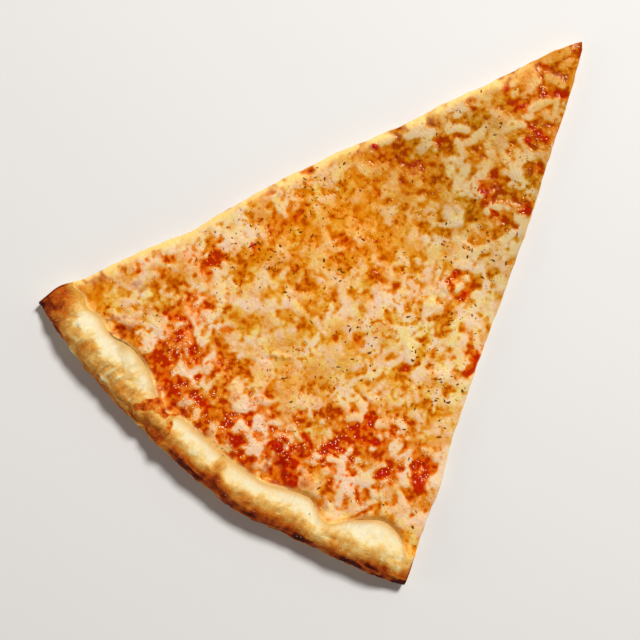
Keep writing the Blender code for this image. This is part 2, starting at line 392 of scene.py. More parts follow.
# Cheese and sauce that ran up the crust and browned, as (x, y, half length, half width in mm,
# heading in degrees)
SPILLS = (
    (23.0, 99.6, 3.2, 2.6, 28),
    (27.0, 101.8, 4.0, 2.4, 25),
    (31.8, 104.6, 3.6, 2.5, 30),
    (19.0, 106.0, 3.0, 1.3, 128),
)

# Browned places on the cheese, as (x, y, radius in mm, depth of the browning)
BURNS = (
    (59.5, 88.4, 2.4, 0.9),
    (62.5, 87.0, 1.6, 0.7),
    (78.0, 80.0, 2.2, 0.9),
    (81.0, 77.5, 1.4, 0.7),
    (-22.0, 86.0, 3.4, 0.7),
    (-27.0, 90.0, 2.6, 0.5),
    (-3.0, 94.0, 2.2, 0.5),
    (-34.0, 88.0, 2.0, 0.5),
    (12.0, 98.5, 3.0, 0.5),
    (24.0, 97.0, 3.0, 0.4),
    (20.0, 97.0, 2.6, 0.6),
    (-15.0, 97.0, 2.6, 0.5),
    (-46.0, 91.0, 3.4, 0.5),
    (-58.0, 84.0, 2.6, 0.4),
    (67.0, 73.0, 1.8, 0.5),
    (51.0, 10.0, 1.6, 0.5),
)


def hill(place, centre, width):
    """A smooth hill, 1 high at its centre and nearly gone two widths away."""
    return np.exp(-(((place - centre) / width) ** 2))


def hills_over_arc(angle, hills):
    """How far the hills and hollows along the arc stand up at an angle."""
    turn = np.degrees(angle)
    return sum(rise * MM * hill(turn, centre, width) for centre, width, rise in hills)


def eased(share):
    """A share from 0 to 1 that starts and ends level."""
    share = np.clip(share, 0, 1)
    return share * share * (3 - 2 * share)


def outer_radius(angle):
    """Radius of the crust's outer edge, drawn out at the long cut and drawn in at the short one."""
    side = angle / HALF_ANGLE
    drawn_out = LONG_SIDE_EXTRA * np.maximum(side, 0) ** LONG_SIDE_CURVE
    return PIE_RADIUS + drawn_out - SHORT_SIDE_LOSS * eased((-side - FLAT_FROM) / (FLAT_TO - FLAT_FROM))


def rim_width(angle):
    """Width of the rim, from its inner foot to its outermost point."""
    return RIM_WIDTH + hills_over_arc(angle, RIM_WIDTH_HILLS)


def rim_foot(angle):
    """Radius where the rim's inner slope starts."""
    return outer_radius(angle) - rim_width(angle)


def rim_height(angle):
    """Height of the rim's crest, pressed down at the cuts."""
    pressed = hill(np.abs(angle), HALF_ANGLE, END_PINCH_WIDTH)
    return (RIM_HEIGHT + hills_over_arc(angle, RIM_HEIGHT_HILLS)) * (1 - END_PINCH * pressed)


def cheese_edge(angle):
    """Radius where the cheese ends, a little way up the rim."""
    return rim_foot(angle) + CHEESE_CLIMB + hills_over_arc(angle, CHEESE_EDGE_HILLS)


def inner_slope(climb, height):
    """Height of the rim's inner slope, from its foot at climb 0 to its crest at climb 1."""
    climb = np.clip(climb, 0, 1)
    return BASE_THICK + (height - BASE_THICK) * np.sin(climb * math.pi / 2) ** SLOPE_FULLNESS


def rim_underside(out, angle):
    """Height of the rim's underside at a distance out from its foot."""
    width = rim_width(angle)
    lift = np.clip((out - RIM_LIFT * width) / (width - RIM_LIFT * width), 0, 1)
    return RIM_BELLY * rim_height(angle) * (1 - np.sqrt(1 - lift * lift))


def dough_top(radius, angle):
    """Height of the dough's upper face, over the rim's crest and down its outer round."""
    width = rim_width(angle)
    height = rim_height(angle)
    out = radius - rim_foot(angle)
    slope = inner_slope(out / (RIM_CREST * width), height)
    over = np.clip((out / width - RIM_CREST) / (1 - RIM_CREST), 0, 1)
    belly = RIM_BELLY * height
    return np.where(over > 0, belly + (height - belly) * np.sqrt(1 - over * over), slope)


def cut_bow(radius, angle):
    """How far the cut on that side stands out at a radius."""
    long_bow, short_bow = (
        sum(rise * MM * hill(radius / MM, place, width) for place, width, rise in bows)
        for bows in (LONG_CUT_BOWS, SHORT_CUT_BOWS)
    )
    return np.where(angle > 0, long_bow, short_bow)


def placed(radius, angle):
    """Plan position of a point of the slice, with the bows of the cuts and the tip worked in."""
    side = angle / HALF_ANGLE
    bow = side * cut_bow(radius, angle)
    nose = TIP_NOSE * (1 - side * side) * hill(radius, TIP_RADIUS, TIP_NOSE_LENGTH)
    x = radius * np.sin(angle) + bow * np.cos(angle)
    y = radius * np.cos(angle) - bow * np.sin(angle) - nose
    return x + TIP.x, y + TIP.y


def rim_end_radius():
    """Radius of the rim's outermost point at the long cut."""
    crest = RIM_CREST * rim_width(HALF_ANGLE)
    return rim_foot(HALF_ANGLE) + crest + (rim_width(HALF_ANGLE) - crest) * math.sin(NOSE_TURN)


# Where the cuts meet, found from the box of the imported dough
TIP = Vector((0, 0))
dough_low, dough_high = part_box("dough")
far_corner = placed(rim_end_radius(), HALF_ANGLE)
TIP = Vector((dough_high.x - far_corner[0], dough_low.y - (TIP_RADIUS - TIP_NOSE)))

# Every field below is a grid of values over the slice's plan.
X, Y = np.meshgrid(
    np.arange(-FIELD_X, FIELD_X, FIELD_STEP),
    np.arange(-FIELD_Y, FIELD_Y, FIELD_STEP),
)


def polar(x, y):
    """Radius and angle of a place in plan, with the bows of the cuts taken out."""
    radius, angle = np.hypot(x - TIP.x, y - TIP.y), np.arctan2(x - TIP.x, y - TIP.y)
    return radius, angle / (1 + cut_bow(radius, angle) / (HALF_ANGLE * np.maximum(radius, TIP_RADIUS)))


RADIUS, ANGLE = polar(X, Y)


def blurred(field, size, size_y=None):
    """The field smoothed by a round brush of that radius, or by an oval one."""
    down = np.fft.fftfreq(field.shape[0], FIELD_STEP)[:, None] * (size_y or size)
    over = np.fft.rfftfreq(field.shape[1], FIELD_STEP) * size
    soft = np.exp(-2 * math.pi**2 * (down**2 + over**2))
    return np.fft.irfft2(np.fft.rfft2(field) * soft, s=field.shape)


def mottle(seed, size, size_y=None):
    """Soft random patches of about that size, 0 on average and mostly between -2 and 2."""
    patches = blurred(np.random.default_rng(seed).standard_normal(X.shape), size, size_y)
    return patches / patches.std()


def sampled(field, x, y):
    """The field's values at those places, read between its grid's points."""
    column = np.clip((x + FIELD_X) / FIELD_STEP, 0, field.shape[1] - 1.001)
    row = np.clip((y + FIELD_Y) / FIELD_STEP, 0, field.shape[0] - 1.001)
    left, low = column.astype(int), row.astype(int)
    over, up = column - left, row - low
    lower = field[low, left] * (1 - over) + field[low, left + 1] * over
    upper = field[low + 1, left] * (1 - over) + field[low + 1, left + 1] * over
    return lower * (1 - up) + upper * up


def cells_between(low, high, start, count):
    """The grid's cells from low to high, of a side that starts at start."""
    ends = np.clip([(low + start) / FIELD_STEP, (high + start) / FIELD_STEP], 0, count)
    return slice(int(ends[0]), int(ends[1]))


def window(x, y, reach):
    """The part of a field that lies within reach of a place."""
    rows = cells_between(y - reach, y + reach, FIELD_Y, X.shape[0])
    return rows, cells_between(x - reach, x + reach, FIELD_X, X.shape[1])


def turned_to(dx, dy, heading):
    """How far ahead and how far aside a place lies, seen along a heading."""
    ahead = dx * math.cos(heading) + dy * math.sin(heading)
    return ahead, dy * math.cos(heading) - dx * math.sin(heading)


def zone_fields():
    """Cream, red, gold and froth over the whole slice, blended between the zones."""
    total = np.full_like(X, 1e-9)
    blends = [np.zeros_like(X) for _ in range(4)]
    for x, y, reach, *kinds in ZONES:
        weight = np.exp(-((X / MM - x) ** 2 + (Y / MM - y) ** 2) / (1.3 * reach) ** 2)
        total += weight
        for blend, kind in zip(blends, kinds):
            blend += weight * kind
    return [blend / total for blend in blends]


def mark_fields():
    """What the single marks add to the cream, the red and the height."""
    added = [np.zeros_like(X) for _ in range(3)]
    ragged = np.maximum(1 + 0.35 * mottle(5, 0.9 * MM), 0.3)
    for x, y, length, width, heading, *changes in MARKS:
        part = window(x * MM, y * MM, 2.6 * max(length, width) * MM)
        ahead, aside = turned_to(X[part] / MM - x, Y[part] / MM - y, math.radians(heading))
        near = np.exp(-((((ahead / length) ** 2 + (aside / width) ** 2) * ragged[part]) ** 1.4))
        for field, change in zip(added, changes):
            field[part] += near * change
    return added


def burn_field():
    """How far the cheese browned, from 0 to 1, at the single browned places."""
    ragged = np.maximum(1 + 0.5 * mottle(6, 0.8 * MM), 0.2)
    burnt = np.zeros_like(X)
    for x, y, radius, depth in BURNS:
        part = window(x * MM, y * MM, 2.5 * radius * MM)
        off = np.hypot(X[part] / MM - x, Y[part] / MM - y) / radius * ragged[part]
        burnt[part] = np.maximum(burnt[part], depth * np.exp(-(off**3)))
    return burnt


def lay_strand(sheet, x, y, heading, length, half_width, bend, crown):
    """One shred of cheese, melted to a low rounded ridge."""
    part = window(x, y, length / 2 + 2 * half_width + abs(bend) * length**2 / 4)
    ahead, aside = turned_to(X[part] - x, Y[part] - y, heading)
    past = np.maximum(np.abs(ahead) - length / 2, 0)
    off = np.hypot(past, aside - bend * ahead**2) / half_width
    ridge = crown * np.clip(1 - off**2, 0, 1) ** 0.6
    sheet[part] = np.maximum(sheet[part], ridge)


def strand_field(seed, count, lengths, half_widths):
    """Shreds of cheese thrown all over the slice and melted together. Ranges of size are in mm."""
    rng = np.random.default_rng(seed)
    sheet = np.zeros_like(X)
    for _ in range(count):
        angle = rng.uniform(-1.05, 1.05) * HALF_ANGLE
        radius = PIE_RADIUS * math.sqrt(rng.uniform())
        x = TIP.x + radius * math.sin(angle)
        y = TIP.y + radius * math.cos(angle)
        length = rng.uniform(*lengths) * MM
        half_width = rng.uniform(*half_widths) * MM
        crown = rng.uniform(0.6, 1.0)
        lay_strand(sheet, x, y, rng.uniform(0, math.pi), length, half_width, rng.normal(0, 40), crown)
    return blurred(sheet, 0.28 * MM)


def evened(field, size):
    """The field with the same average and spread everywhere: 0 and 1."""
    flat = field - blurred(field, size)
    return flat / np.sqrt(blurred(flat**2, size) + 1e-9)


def bubble_field(seed, count, smallest, largest):
    """Small round domes, each as high as its radius. Radii are in mm."""
    rng = np.random.default_rng(seed)
    domes = np.zeros_like(X)
    for _ in range(count):
        x, y = rng.uniform(-90, 90) * MM, rng.uniform(-115, 112) * MM
        radius = rng.uniform(smallest, largest) * MM
        part = window(x, y, radius)
        off = ((X[part] - x) ** 2 + (Y[part] - y) ** 2) / radius**2
        domes[part] = np.maximum(domes[part], np.sqrt(np.clip(1 - off, 0, 1)) * radius)
    return domes


def lip_share(radius, angle):
    """0 at the cheese's edge on the crust, rising to 1 further in, as a low swelling lip."""
    inside = np.clip((cheese_edge(angle) - radius) / LIP_WIDTH, 0, 1)
    return 1 - (1 - inside) ** 2


def near_edges():
    """How near the cheese's edge, the crust and the cuts are at each place, 1 being at them."""
    inside = np.maximum(cheese_edge(ANGLE) - RADIUS, 0)
    from_cut = RADIUS * (HALF_ANGLE - np.abs(ANGLE))
    cut_near = np.exp(-((from_cut / CUT_REACH) ** 2))
    return np.exp(-inside / EDGE_REACH), np.exp(-inside / CRUST_REACH), cut_near


def curd_fields(bare, dull):
    """How high the shreds lie, and how they swell together with the lumps that they melted to."""
    shreds = evened(strand_field(*NARROW_SHREDS), FINE_SPREAD)
    broad = evened(strand_field(*BROAD_SHREDS), BROAD_SPREAD)
    lumps = evened(mottle(31, 2.2 * MM) + 0.6 * mottle(32, 1.1 * MM), BROAD_SPREAD)
    small = evened(mottle(37, 1.3 * MM) + 0.6 * mottle(38, 0.6 * MM), FINE_SPREAD)
    lumps += 0.5 * (1 - bare) * (small - lumps)
    lumps += 0.75 * dull * (evened(mottle(39, 2.5 * MM), BROAD_SPREAD) - lumps)
    shreds += (0.3 + 0.6 * dull + 0.3 * bare * (1 - dull)) * (broad - shreds)
    mixed = shreds * (0.5 + 0.15 * bare + 0.3 * dull) + (0.6 + 0.1 * bare) * lumps
    return shreds, evened(mixed, BROAD_SPREAD)


def cheese_top(rise, cut_near):
    """Height of the cheese's surface, which lands on the crust at its edge and drops at the cuts."""
    lip = lip_share(RADIUS, ANGLE)
    level = BASE_THICK + SAUCE_THICK + CHEESE_THICK + GAP + MM * rise
    landing = dough_top(cheese_edge(ANGLE), ANGLE)
    level = landing + (level - landing) * lip
    film = dough_top(RADIUS, ANGLE) + (EDGE_THICK + 0.5 * MM * rise) * lip
    apart = level - film
    return film + 0.5 * (apart + np.hypot(apart, LIP_ROUND)) + LIP_THICK - CUT_DROP * cut_near


def butter_field(curds):
    """Where the cheese ran smooth and yellow along the long cut, from 0 to 1."""
    side_run = RADIUS * (HALF_ANGLE - ANGLE) / MM
    butter = np.exp(-((side_run / (2.0 + 0.7 * mottle(48, 4 * MM))) ** 2)) * np.clip(1 + 0.6 * curds, 0, 1)
    return butter * eased((RADIUS / MM - 14) / 20)


def cheese_fields():
    """Everything that the cheese's mesh and material need to know at each place."""
    cream, red, gold, froth = zone_fields()
    mark_cream, mark_red, mark_rise = mark_fields()
    edge_near, crust_near, cut_near = near_edges()
    tip_near = eased((-80 - Y / MM) / 20)
    bare = eased((red + 0.12 * mottle(44, 4 * MM) - 0.2) / 0.75)
    dull = 0.9 * eased((2 - Y / MM) / 40) * np.clip(1 + 0.2 * mottle(47, 6 * MM), 0, 1)
    oily = np.clip(gold, 0, 1) * (1 - dull)
    shreds, curds = curd_fields(bare, dull)
    fine = evened(0.7 * mottle(33, 0.9 * MM) + mottle(34, 0.5 * MM), FINE_SPREAD)
    pits = np.clip(mottle(35, 0.6 * MM) - 1.5 + 0.5 * gold, 0, 1)

    # How thickly the cheese covers, from 0 to 1
    amount = curds + 0.40 + 0.8 * (cream - 0.25) + 1.2 * mark_cream - 0.6 * edge_near + 0.5 * cut_near
    thick = 0.5 + 0.5 * np.tanh((1.9 - 0.6 * oily) * amount)
    thin_tone = 0.38 - 0.06 * bare - 0.04 * dull + 0.20 * np.tanh(0.8 * fine) + 0.07 * mark_cream
    thick_tone = 0.77 + 0.07 * bare + 0.13 * np.tanh(0.9 * mottle(36, 2.4 * MM) + 0.5 * shreds)
    cover = thin_tone + (thick_tone - thin_tone) * thick + 0.05 * np.tanh(fine) - 0.4 * pits * thick
    cover += 0.03 * dull - 0.10 * tip_near + 0.10 * crust_near * eased(X / (40 * MM))
    contrast = 1.28 + 0.5 * bare * (1 - dull) + 0.1 * dull - 0.35 * oily
    cover = MIDDLE_COVER + (cover - MIDDLE_COVER) * contrast

    # How far the surface rises, in mm
    swells = np.tanh(0.8 * blurred(curds, 0.5 * MM) + 0.7 * mark_cream)
    rise = (0.10 + 0.38 * bare * (1 - 0.7 * dull)) * swells + 0.05 * np.tanh(shreds) - 0.12 * pits
    rise += 0.10 * np.tanh(0.6 * cream) + mark_rise
    rise += 0.04 * mottle(42, 0.5 * MM) * froth + 0.20 * froth * bubble_field(*CHEESE_BUBBLES) / MM
    rise += 0.20 * mottle(43, 5 * MM)

    golden = gold + 0.5 * edge_near + 0.7 * crust_near + 0.4 * tip_near
    golden += 0.18 * mottle(45, 5 * MM) + 0.15 * mottle(50, 2 * MM)
    stained = (bare * (1 - 0.5 * dull) + mark_red) * (1 - 0.5 * edge_near) - 0.4 * crust_near
    toasted = 0.5 - 0.2 * dull + 0.35 * mottle(46, 5 * MM) + 0.2 * edge_near
    return {
        "cover": np.clip(cover, 0, 1),
        "red": np.clip(stained, 0, 1),
        "gold": np.clip(golden - 0.35 * (thick - 0.5), 0, 1),
        "olive": np.clip(dull, 0, 1),
        "froth": np.clip(froth + 0.25 * bare, 0, 1),
        "toast": np.clip(toasted, 0, 1),
        "spotty": eased(0.30 + 0.35 * mottle(49, 3 * MM) + 0.4 * gold - 0.2 * dull),
        "burnt": burn_field(),
        "butter": butter_field(curds),
        "top": cheese_top(rise, cut_near),
    }


FIELDS = cheese_fields()


# Meshes


def wedge_block(rows, rings):
    """A triangle cut into rows of small triangles, with rings of edges hung from its border.

    Each corner stands at its step along the row, its row and minus its ring, and the last ring is
    filled, so that the block is closed.
    """
    bm = bmesh.new()
    corners = [bm.verts.new(place) for place in ((0, 0, 0), (0, rows, 0), (rows, rows, 0))]
    bm.faces.new(corners)
    bmesh.ops.subdivide_edges(bm, edges=bm.edges[:], cuts=rows - 1, use_grid_fill=True)
    border = [edge for edge in bm.edges if edge.is_boundary]
    for _ in range(rings + 1):
        hung = bmesh.ops.extrude_edge_only(bm, edges=border)["geom"]
        bmesh.ops.translate(bm, vec=(0, 0, -1), verts=[g for g in hung if isinstance(g, bmesh.types.BMVert)])
        border = [g for g in hung if isinstance(g, bmesh.types.BMEdge)]
    bmesh.ops.edgeloop_fill(bm, edges=border)
    bmesh.ops.recalc_face_normals(bm, faces=bm.faces)
    return bm


def mesh_of(name, bm):
    mesh = bpy.data.meshes.new(name)
    bm.to_mesh(mesh)
    bm.free()
    return mesh


def corners_of(mesh):
    corners = np.empty(len(mesh.vertices) * 3)
    mesh.vertices.foreach_get("co", corners)
    return corners.reshape(-1, 3).T


def move_corners(mesh, x, y, z):
    mesh.vertices.foreach_set("co", np.stack([x, y, z], 1).astype(np.float32).ravel())
    mesh.update()


def note_values(mesh, **values):
    """Stores one number for each corner of the mesh under each name, for the material to read."""
    for name, value in values.items():
        stored = mesh.attributes.new(name, "FLOAT", "POINT")
        stored.data.foreach_set("value", np.broadcast_to(value, len(mesh.vertices)).astype(np.float32))


def finished(name, mesh, material, stands_for=None, sharp=None):
    """The mesh as a smooth-shaded piece of the slice."""
    mesh.materials.append(material)
    mesh.shade_smooth()
    if sharp:
        mesh.set_sharp_from_angle(angle=math.radians(sharp))
    piece = bpy.data.objects.new(name, mesh)
    bpy.context.scene.collection.objects.link(piece)
    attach(piece, "root")
    if stands_for:
        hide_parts(stands_for)
    return piece


def block_places(mesh, rows, edge):
    """Plan place, ring, outward direction and kind of each corner of a wedge block."""
    step, row, ring = np.rint(corners_of(mesh) * np.array([[1], [1], [-1]]))
    share = np.where(row > 0, step / np.maximum(row, 1), 0.5)
    angle = (share - 0.5) * CUT_ANGLE
    radius = TIP_RADIUS + row / rows * (edge(angle) - TIP_RADIUS)
    x, y = placed(radius, angle)
    left, right, far = (step == 0) & (row > 0), (step == row) & (row > 0), row == rows
    out_x = (right * 1.0 - left) * np.cos(angle) + far * np.sin(angle)
    out_y = (left * 1.0 - right) * np.sin(angle) + far * np.cos(angle) - (row == 0)
    size = np.maximum(np.hypot(out_x, out_y), 1e-9)
    return radius, angle, x, y, ring, out_x / size, out_y / size, far


def build_cheese(material):
    """The melted cheese, with its torn and rounded edges."""
    mesh = mesh_of("cheese_layer", wedge_block(CHEESE_ROWS, CHEESE_RINGS))
    radius, angle, x, y, ring, out_x, out_y, far = block_places(mesh, CHEESE_ROWS, cheese_edge)
    top = sampled(FIELDS["top"], x, y)
    deep = np.clip(ring / CHEESE_RINGS, 0, 1)
    ragged = sampled(mottle(51, 1.3 * MM), x, y)
    slack = sampled(mottle(52, 3.0 * MM), x, y)
    drip = MM * np.clip(0.9 * slack - 0.5, 0, 1.6)
    over_sauce = eased((rim_foot(angle) - SAUCE_SHORT - radius) / (1.5 * MM))
    low_cut = dough_top(radius, angle) + MM * (1.1 * over_sauce - 0.3) - drip
    low_far = dough_top(radius, angle) - 0.5 * MM
    low = np.where(far, low_far, low_cut)
    bulge = MM * np.where(far, 0.0, 0.45 + 0.12 * ragged + 0.16 * np.clip(slack, -1, 1.5))
    bulge = np.minimum(bulge, 0.12 * radius)
    out = bulge * np.sin(math.pi * np.clip(deep, 0, 1) ** 0.75 * 0.86)
    closing = ring > CHEESE_RINGS
    out = np.where(closing, -np.minimum(4 * MM, 0.25 * radius), out)
    z = top + (low - top) * deep**0.9
    z = np.where(closing, BASE_THICK + 1.0 * MM, z)
    move_corners(mesh, x + out * out_x, y + out * out_y, z)
    side = np.where(far, 0, np.clip(2.6 * deep, 0, 1))
    contact = 0.8 * np.exp(-(((cheese_edge(angle) - radius) / (0.8 * MM)) ** 2))
    side = np.maximum(np.maximum(side, contact), sampled(FIELDS["butter"], x, y))
    kinds = ("cover", "red", "gold", "olive", "froth", "toast", "spotty", "burnt")
    note_values(mesh, side=side, **{kind: sampled(FIELDS[kind], x, y) for kind in kinds})
    return finished("cheese_layer", mesh, material, "cheese", sharp=75)


def build_sauce(material):
    """The tomato sauce, which shows as a line at the cuts."""

    def sauce_edge(angle):
        return rim_foot(angle) - SAUCE_SHORT

    mesh = mesh_of("sauce_layer", wedge_block(SAUCE_ROWS, SAUCE_RINGS))
    radius, angle, x, y, ring, out_x, out_y, _ = block_places(mesh, SAUCE_ROWS, sauce_edge)
    deep = np.clip(ring / SAUCE_RINGS, 0, 1)
    lumpy = sampled(mottle(61, 1.0 * MM), x, y)
    wet = sampled(mottle(62, 2.4 * MM), x, y)
    bulge = np.minimum(MM * (0.28 + 0.14 * lumpy), 0.10 * radius)
    closing = ring > SAUCE_RINGS
    out = bulge * np.sin(math.pi * deep * 0.9)
    out = np.where(closing, -np.minimum(2 * MM, 0.2 * radius), out)
    top = BASE_THICK + SAUCE_THICK + 0.5 * MM
    low = BASE_THICK - MM * np.clip(0.25 + 0.45 * wet, 0, 1.4)
    z = top + (low - top) * deep
    z = np.where(closing, BASE_THICK, z)
    move_corners(mesh, x + out * out_x, y + out * out_y, z)
    note_values(mesh, pulp=0.5 + 0.25 * lumpy)
    return finished("sauce_layer", mesh, material, "sauce")


def turn_between(first, second):
    """Angle about the pie's middle from one corner to another."""
    return math.atan2(first.co.x, first.co.y) - math.atan2(second.co.x, second.co.y)


def dough_block():
    """The dough's skin and cut faces, before they are given their section.

    Corners stand at radius 1, 2, 3 and so on along the section and at heights from 0 to 1. The rim's
    skin is spun between the two cuts, and the flat faces between it and the tip are filled.
    """
    cells = DOUGH_BASE_CELLS + DOUGH_SLOPE_CELLS + DOUGH_ROUND_CELLS
    bm = bmesh.new()
    to_section = Matrix.Translation((0, 1 + cells / 2, 0.5)) @ Matrix.Rotation(math.pi / 2, 4, "Y")
    to_section = to_section @ Matrix.Diagonal((0.5, cells / 2, 1, 1))
    bmesh.ops.create_grid(bm, x_segments=DOUGH_LEVELS, y_segments=cells, size=1, matrix=to_section)
    section = bm.verts[:] + bm.edges[:] + bm.faces[:]
    other = bmesh.ops.duplicate(bm, geom=section)["geom"]
    other = [g for g in other if isinstance(g, bmesh.types.BMVert)]
    rim_from = DOUGH_BASE_CELLS + 0.9
    near = [g for g in section if isinstance(g, bmesh.types.BMVert)]
    bmesh.ops.rotate(bm, cent=(0, 0, 0), matrix=Matrix.Rotation(HALF_ANGLE, 3, "Z"), verts=near)
    bmesh.ops.rotate(bm, cent=(0, 0, 0), matrix=Matrix.Rotation(-HALF_ANGLE, 3, "Z"), verts=other)
    outline = [
        g
        for g in section
        if isinstance(g, bmesh.types.BMEdge)
        and g.is_boundary
        and min(vert.co.xy.length for vert in g.verts) > rim_from
    ]
    corners = list({vert for edge in outline for vert in edge.verts})
    bmesh.ops.spin(
        bm,
        geom=corners + outline,
        cent=(0, 0, 0),
        axis=(0, 0, -1),
        angle=CUT_ANGLE,
        steps=DOUGH_ARC_STEPS,
    )
    arcs = [edge for edge in bm.edges if abs(turn_between(*edge.verts)) > 0.001]
    bmesh.ops.subdivide_edges(bm, edges=arcs, cuts=DOUGH_ARC_CUTS)
    tip = [
        edge
        for edge in bm.edges
        if edge.is_boundary and max(vert.co.xy.length for vert in edge.verts) < 1.1
    ]
    rungs = bmesh.ops.bridge_loops(bm, edges=tip)["edges"]
    bmesh.ops.subdivide_edges(bm, edges=rungs, cuts=4)
    bmesh.ops.remove_doubles(bm, verts=bm.verts, dist=0.01)
    bmesh.ops.holes_fill(bm, edges=[edge for edge in bm.edges if edge.is_boundary], sides=0)
    bmesh.ops.recalc_face_normals(bm, faces=bm.faces)
    return bm


def groove_depth(x, y):
    """How deep the crust's creases go at each place, and how much more or less it baked there."""
    depth = np.zeros_like(x)
    for x0, y0, x1, y1, width, drop in GROOVES:
        ahead_x, ahead_y = (x1 - x0) * MM, (y1 - y0) * MM
        share = ((x - x0 * MM) * ahead_x + (y - y0 * MM) * ahead_y) / (ahead_x**2 + ahead_y**2)
        share = np.clip(share, 0, 1)
        off = np.hypot(x - x0 * MM - share * ahead_x, y - y0 * MM - share * ahead_y)
        depth = np.maximum(depth, drop * MM * np.exp(-((off / (width * MM)) ** 2)))
    scorch = np.zeros_like(x)
    for place_x, place_y, radius, browning in SCORCHES:
        off = np.hypot(x - place_x * MM, y - place_y * MM) / (radius * MM)
        scorch += browning * np.exp(-(off**3))
    return depth, scorch


def spill_share(x, y):
    """1 where cheese ran over the crust, 0 elsewhere, with a torn border between."""
    ragged = sampled(mottle(86, 0.9 * MM), x, y)
    share = np.zeros_like(x)
    for place_x, place_y, length, width, heading in SPILLS:
        ahead, aside = turned_to(x / MM - place_x, y / MM - place_y, math.radians(heading))
        off = np.hypot(ahead / length, aside / width)
        share = np.maximum(share, eased((1.25 - off + 0.34 * ragged) / 0.35))
    return share


def rim_section(cell, angle):
    """Where the corners of a section stand: radius, underside, top, way round and way to the nose."""
    foot, width, height = rim_foot(angle), rim_width(angle), rim_height(angle)
    crest = RIM_CREST * width
    belly = RIM_BELLY * height
    in_base = cell <= DOUGH_BASE_CELLS
    slope_share = np.clip((cell - DOUGH_BASE_CELLS) / DOUGH_SLOPE_CELLS, 0, 1)
    turn = NOSE_TURN * np.clip((cell - DOUGH_BASE_CELLS - DOUGH_SLOPE_CELLS) / DOUGH_ROUND_CELLS, 0, 1)
    out = np.where(turn > 0, crest + (width - crest) * np.sin(turn), crest * slope_share)
    upper = np.where(turn > 0, belly + (height - belly) * np.cos(turn), inner_slope(slope_share, height))
    base_radius = TIP_RADIUS + cell / DOUGH_BASE_CELLS * (foot - TIP_RADIUS)
    radius = np.where(in_base, base_radius, foot + out)
    upper = np.where(in_base, BASE_THICK, upper)
    lower = np.where(in_base, 0, rim_underside(out, angle))
    nose_round = SLOPE_ROUND * slope_share + NOSE_ROUND * turn / NOSE_TURN
    return radius, lower, upper, nose_round, np.maximum(width - out, 0)


def skin_relief(arc, girth, outer):
    """How far the rim's skin stands out, in mm, and how wrinkled and how flaked it is."""
    lumps = 0.45 * sampled(mottle(71, 4 * MM, 3.5 * MM), arc, girth)
    bumps = 0.30 * sampled(mottle(72, 1.6 * MM, 1.3 * MM), arc, girth)
    wrinkled = np.abs(sampled(mottle(73, 0.8 * MM, 3.2 * MM), arc, girth))
    flaked = np.abs(sampled(mottle(74, 3.0 * MM, 0.6 * MM), arc, girth))
    wrinkles = -(0.28 + 0.16 * eased(arc / (30 * MM))) * wrinkled * (1 - 0.4 * outer)
    flakes = 0.22 * outer * flaked
    blisters = 0.35 * sampled(bubble_field(*CRUST_BLISTERS), arc, girth) / MM
    swells = lumps * (1 - 0.65 * outer) + bumps * (1 - 0.5 * outer)
    return swells + wrinkles + flakes + blisters, wrinkled, flaked


def skin_baking(turned, arc, girth, nose_round):
    """How baked the rim's top and its underside are, the lighter half partly as painted light, before the
    painted shade of wrinkles, the painted highlights of flakes and the browned places.
    """
    mottled = 0.5 * sampled(mottle(83, 4 * MM), arc, girth) + 0.5 * sampled(mottle(84, 1.4 * MM), arc, girth)
    right_side = eased((9 - turned + 1.5 * sampled(mottle(85, 7 * MM), arc, girth)) / 10)
    light_bake = np.interp(nose_round / MM, *zip(*LIGHT_BAKE))
    dark_bake = np.interp(nose_round / MM, *zip(*DARK_BAKE))
    # The lighter half's lower bake is partly painted light.
    baked = light_bake + (dark_bake - light_bake) * right_side
    baked -= 0.26 * eased((-6 - turned) / 3) * hill(nose_round, 18.5 * MM, 3.5 * MM)
    baked += 0.26 * eased((turned - 18) / 2.5)
    baked += 0.10 * mottled * (0.5 + 1.0 * eased((nose_round - 8 * MM) / (12 * MM)))
    return baked, 0.48 + 0.2 * mottled


